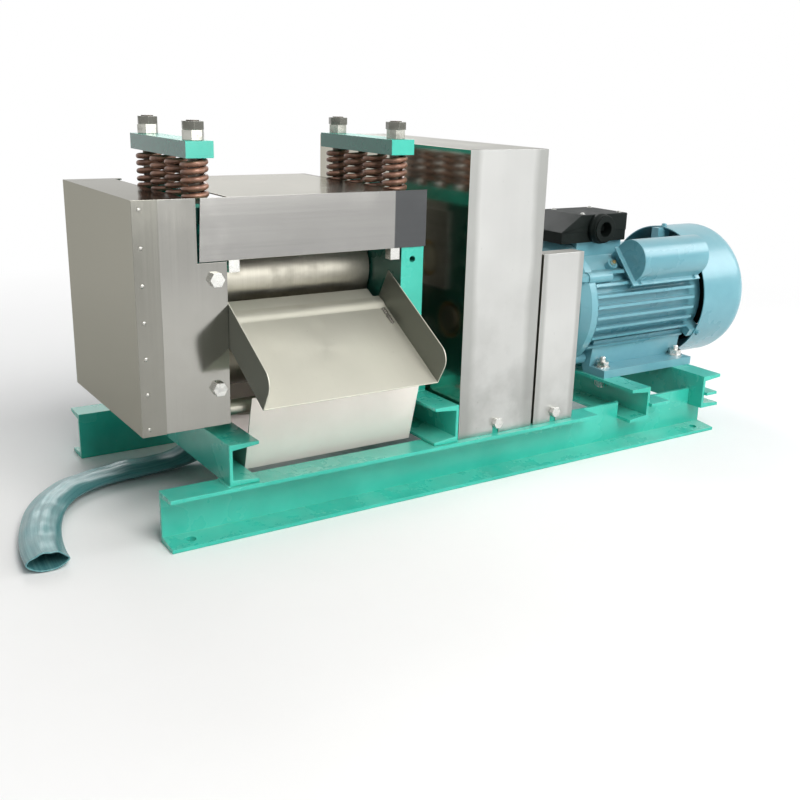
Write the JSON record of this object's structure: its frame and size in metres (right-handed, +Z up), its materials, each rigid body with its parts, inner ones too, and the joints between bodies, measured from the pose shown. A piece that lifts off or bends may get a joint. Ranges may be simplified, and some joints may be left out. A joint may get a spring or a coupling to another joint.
{
  "type": "electric sugarcane juicer",
  "caption": "Electric sugarcane juicer: sprung roller mill with stainless covers, discharge chute and juice tray on a welded green channel base, gear-driven by a finned foot motor.",
  "frame": {"origin": "middle of the assembly's box on the floor under the base rails, without the hose", "axes": "+X along the base from the mill to the motor, +Y from the discharge side to the feed side, +Z up"},
  "size_m": [1.1612, 0.4462, 0.459],
  "materials": {
    "frame_green": "bright green enamel",
    "stainless": "brushed stainless sheet",
    "machined_steel": "machined steel, lightly oiled",
    "zinc": "bright zinc plating",
    "bronze": "cast bronze",
    "spring_steel": "brown oiled spring steel",
    "motor_paint": "grey-blue enamel",
    "black_plastic": "black moulded plastic",
    "coupling_rubber": "black rubber",
    "hose_plastic": "woven lay-flat hose",
    "winding_copper": "core with varnished windings"
  },
  "bodies": {
    "base": {"front_rail": "frame_green", "rear_rail": "frame_green", "left_cross_channel": "frame_green", "right_cross_channel": "frame_green", "inner_motor_channel": "frame_green", "outer_motor_channel": "frame_green", "tray_bearers": "frame_green", "left_cheek": "frame_green", "right_cheek": "frame_green", "left_foot_plate": "frame_green", "right_foot_plate": "frame_green", "tie_bars": "machined_steel", "left_spring_bar": "frame_green", "right_spring_bar": "frame_green", "spring_studs": "zinc", "stud_nuts": "zinc", "left_springs": "spring_steel", "right_springs": "spring_steel", "bottom_bushes": "bronze", "countershaft_bearings": "machined_steel", "pinion_cartridge": "machined_steel", "left_gear_plate": "frame_green", "right_gear_plate": "frame_green", "gear_cover": "stainless", "hood": "stainless", "hood_blocks": "zinc", "drive_cover": "stainless", "coupling_guard": "stainless", "cover_bolts": "zinc", "discharge_chute": "stainless", "feed_chute": "stainless", "juice_tray": "stainless", "drain_spout": "stainless", "juice_hose": "hose_plastic", "motor_frame": "motor_paint", "motor_end_bell": "motor_paint", "stator_core": "winding_copper", "fan_cowl": "motor_paint", "terminal_box": "black_plastic", "capacitor_cover": "motor_paint", "motor_bolts": "zinc"},
    "top_carriage": {"left_pressure_bar": "frame_green", "right_pressure_bar": "frame_green", "left_bearing_block": "machined_steel", "right_bearing_block": "machined_steel", "top_bushes": "bronze"},
    "top_roller": {"top_roller": "machined_steel", "top_mill_gear": "machined_steel"},
    "front_roller": {"front_roller": "machined_steel", "front_mill_gear": "machined_steel"},
    "rear_roller": {"rear_roller": "machined_steel", "rear_mill_gear": "machined_steel", "main_gear": "machined_steel"},
    "countershaft": {"countershaft": "machined_steel", "countershaft_gear": "machined_steel"},
    "motor_rotor": {"motor_shaft": "machined_steel", "cooling_fan": "black_plastic", "coupling_halves": "machined_steel", "coupling_disc": "coupling_rubber", "pinion_shaft": "machined_steel"}
  },
  "joints": [
    {"name": "top_roller_lift", "type": "slide", "parent": "base", "child": "top_carriage", "axis": [0, 0, 1], "range_m": [0, 0.004], "stiffness_N_per_m": 30000, "springref_m": -0.02, "deforming": ["left_springs", "right_springs"]},
    {"name": "motor_spin", "type": "hinge", "parent": "base", "child": "motor_rotor", "pos_m": [0.29175, 0.01109, 0.188], "axis": [1, 0, 0], "continuous": true},
    {"name": "countershaft_spin", "type": "hinge", "parent": "base", "child": "countershaft", "pos_m": [-0.04825, -0.01096, 0.31358], "axis": [1, 0, 0], "continuous": true},
    {"name": "rear_roller_spin", "type": "hinge", "parent": "base", "child": "rear_roller", "pos_m": [-0.29575, 0.04359, 0.2], "axis": [1, 0, 0], "continuous": true},
    {"name": "front_roller_spin", "type": "hinge", "parent": "base", "child": "front_roller", "pos_m": [-0.29575, -0.05841, 0.2], "axis": [1, 0, 0], "continuous": true},
    {"name": "top_roller_spin", "type": "hinge", "parent": "top_carriage", "child": "top_roller", "pos_m": [-0.29575, -0.00741, 0.27657], "axis": [1, 0, 0], "continuous": true}
  ],
  "couplings": [
    {"joint": "countershaft_spin", "follows": "motor_spin", "ratio": -0.17241},
    {"joint": "rear_roller_spin", "follows": "motor_spin", "ratio": 0.034483},
    {"joint": "top_roller_spin", "follows": "motor_spin", "ratio": -0.034483},
    {"joint": "front_roller_spin", "follows": "motor_spin", "ratio": 0.034483}
  ]
}
